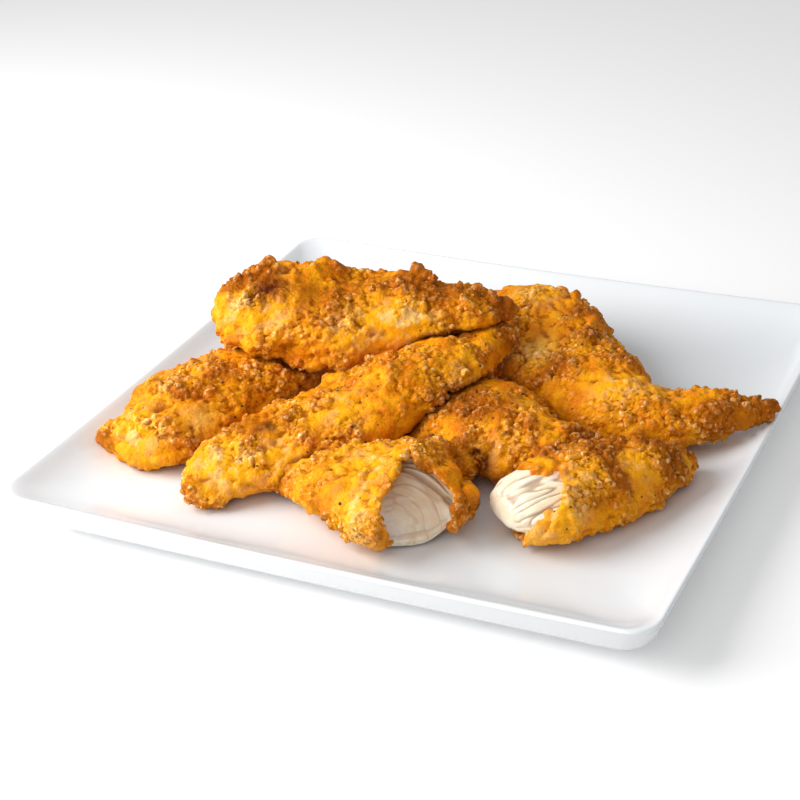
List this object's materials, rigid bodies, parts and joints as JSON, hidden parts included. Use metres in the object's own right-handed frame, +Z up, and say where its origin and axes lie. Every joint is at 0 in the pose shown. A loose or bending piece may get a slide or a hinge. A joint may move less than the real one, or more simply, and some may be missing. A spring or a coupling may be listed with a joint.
{
  "type": "plate of breaded chicken strips",
  "caption": "Square white plate with a heap of crisp breaded chicken strips, two of them torn open to show the meat; a served snack or main dish",
  "frame": {"origin": "middle of the plate's foot, on the table", "axes": "+Z up; X and Y along the plate's edges, with the corner nearest the picture's viewer at +X -Y"},
  "size_m": [0.26, 0.26, 0.0653],
  "materials": {
    "porcelain": "smooth white glaze, glossy",
    "fried_crust": "crumbly golden breading, browned on the ridges, lightly oiled",
    "chicken_meat": "moist white cooked meat in long fibres"
  },
  "bodies": {
    "root": {"plate": "porcelain", "tender_left": "fried_crust", "tender_long": "fried_crust", "tender_back": "fried_crust", "tender_right": "fried_crust", "tender_top": "fried_crust", "torn_front_coating": "fried_crust", "torn_front_meat": "chicken_meat", "torn_right_coating": "fried_crust", "torn_right_meat": "chicken_meat"}
  },
  "joints": []
}
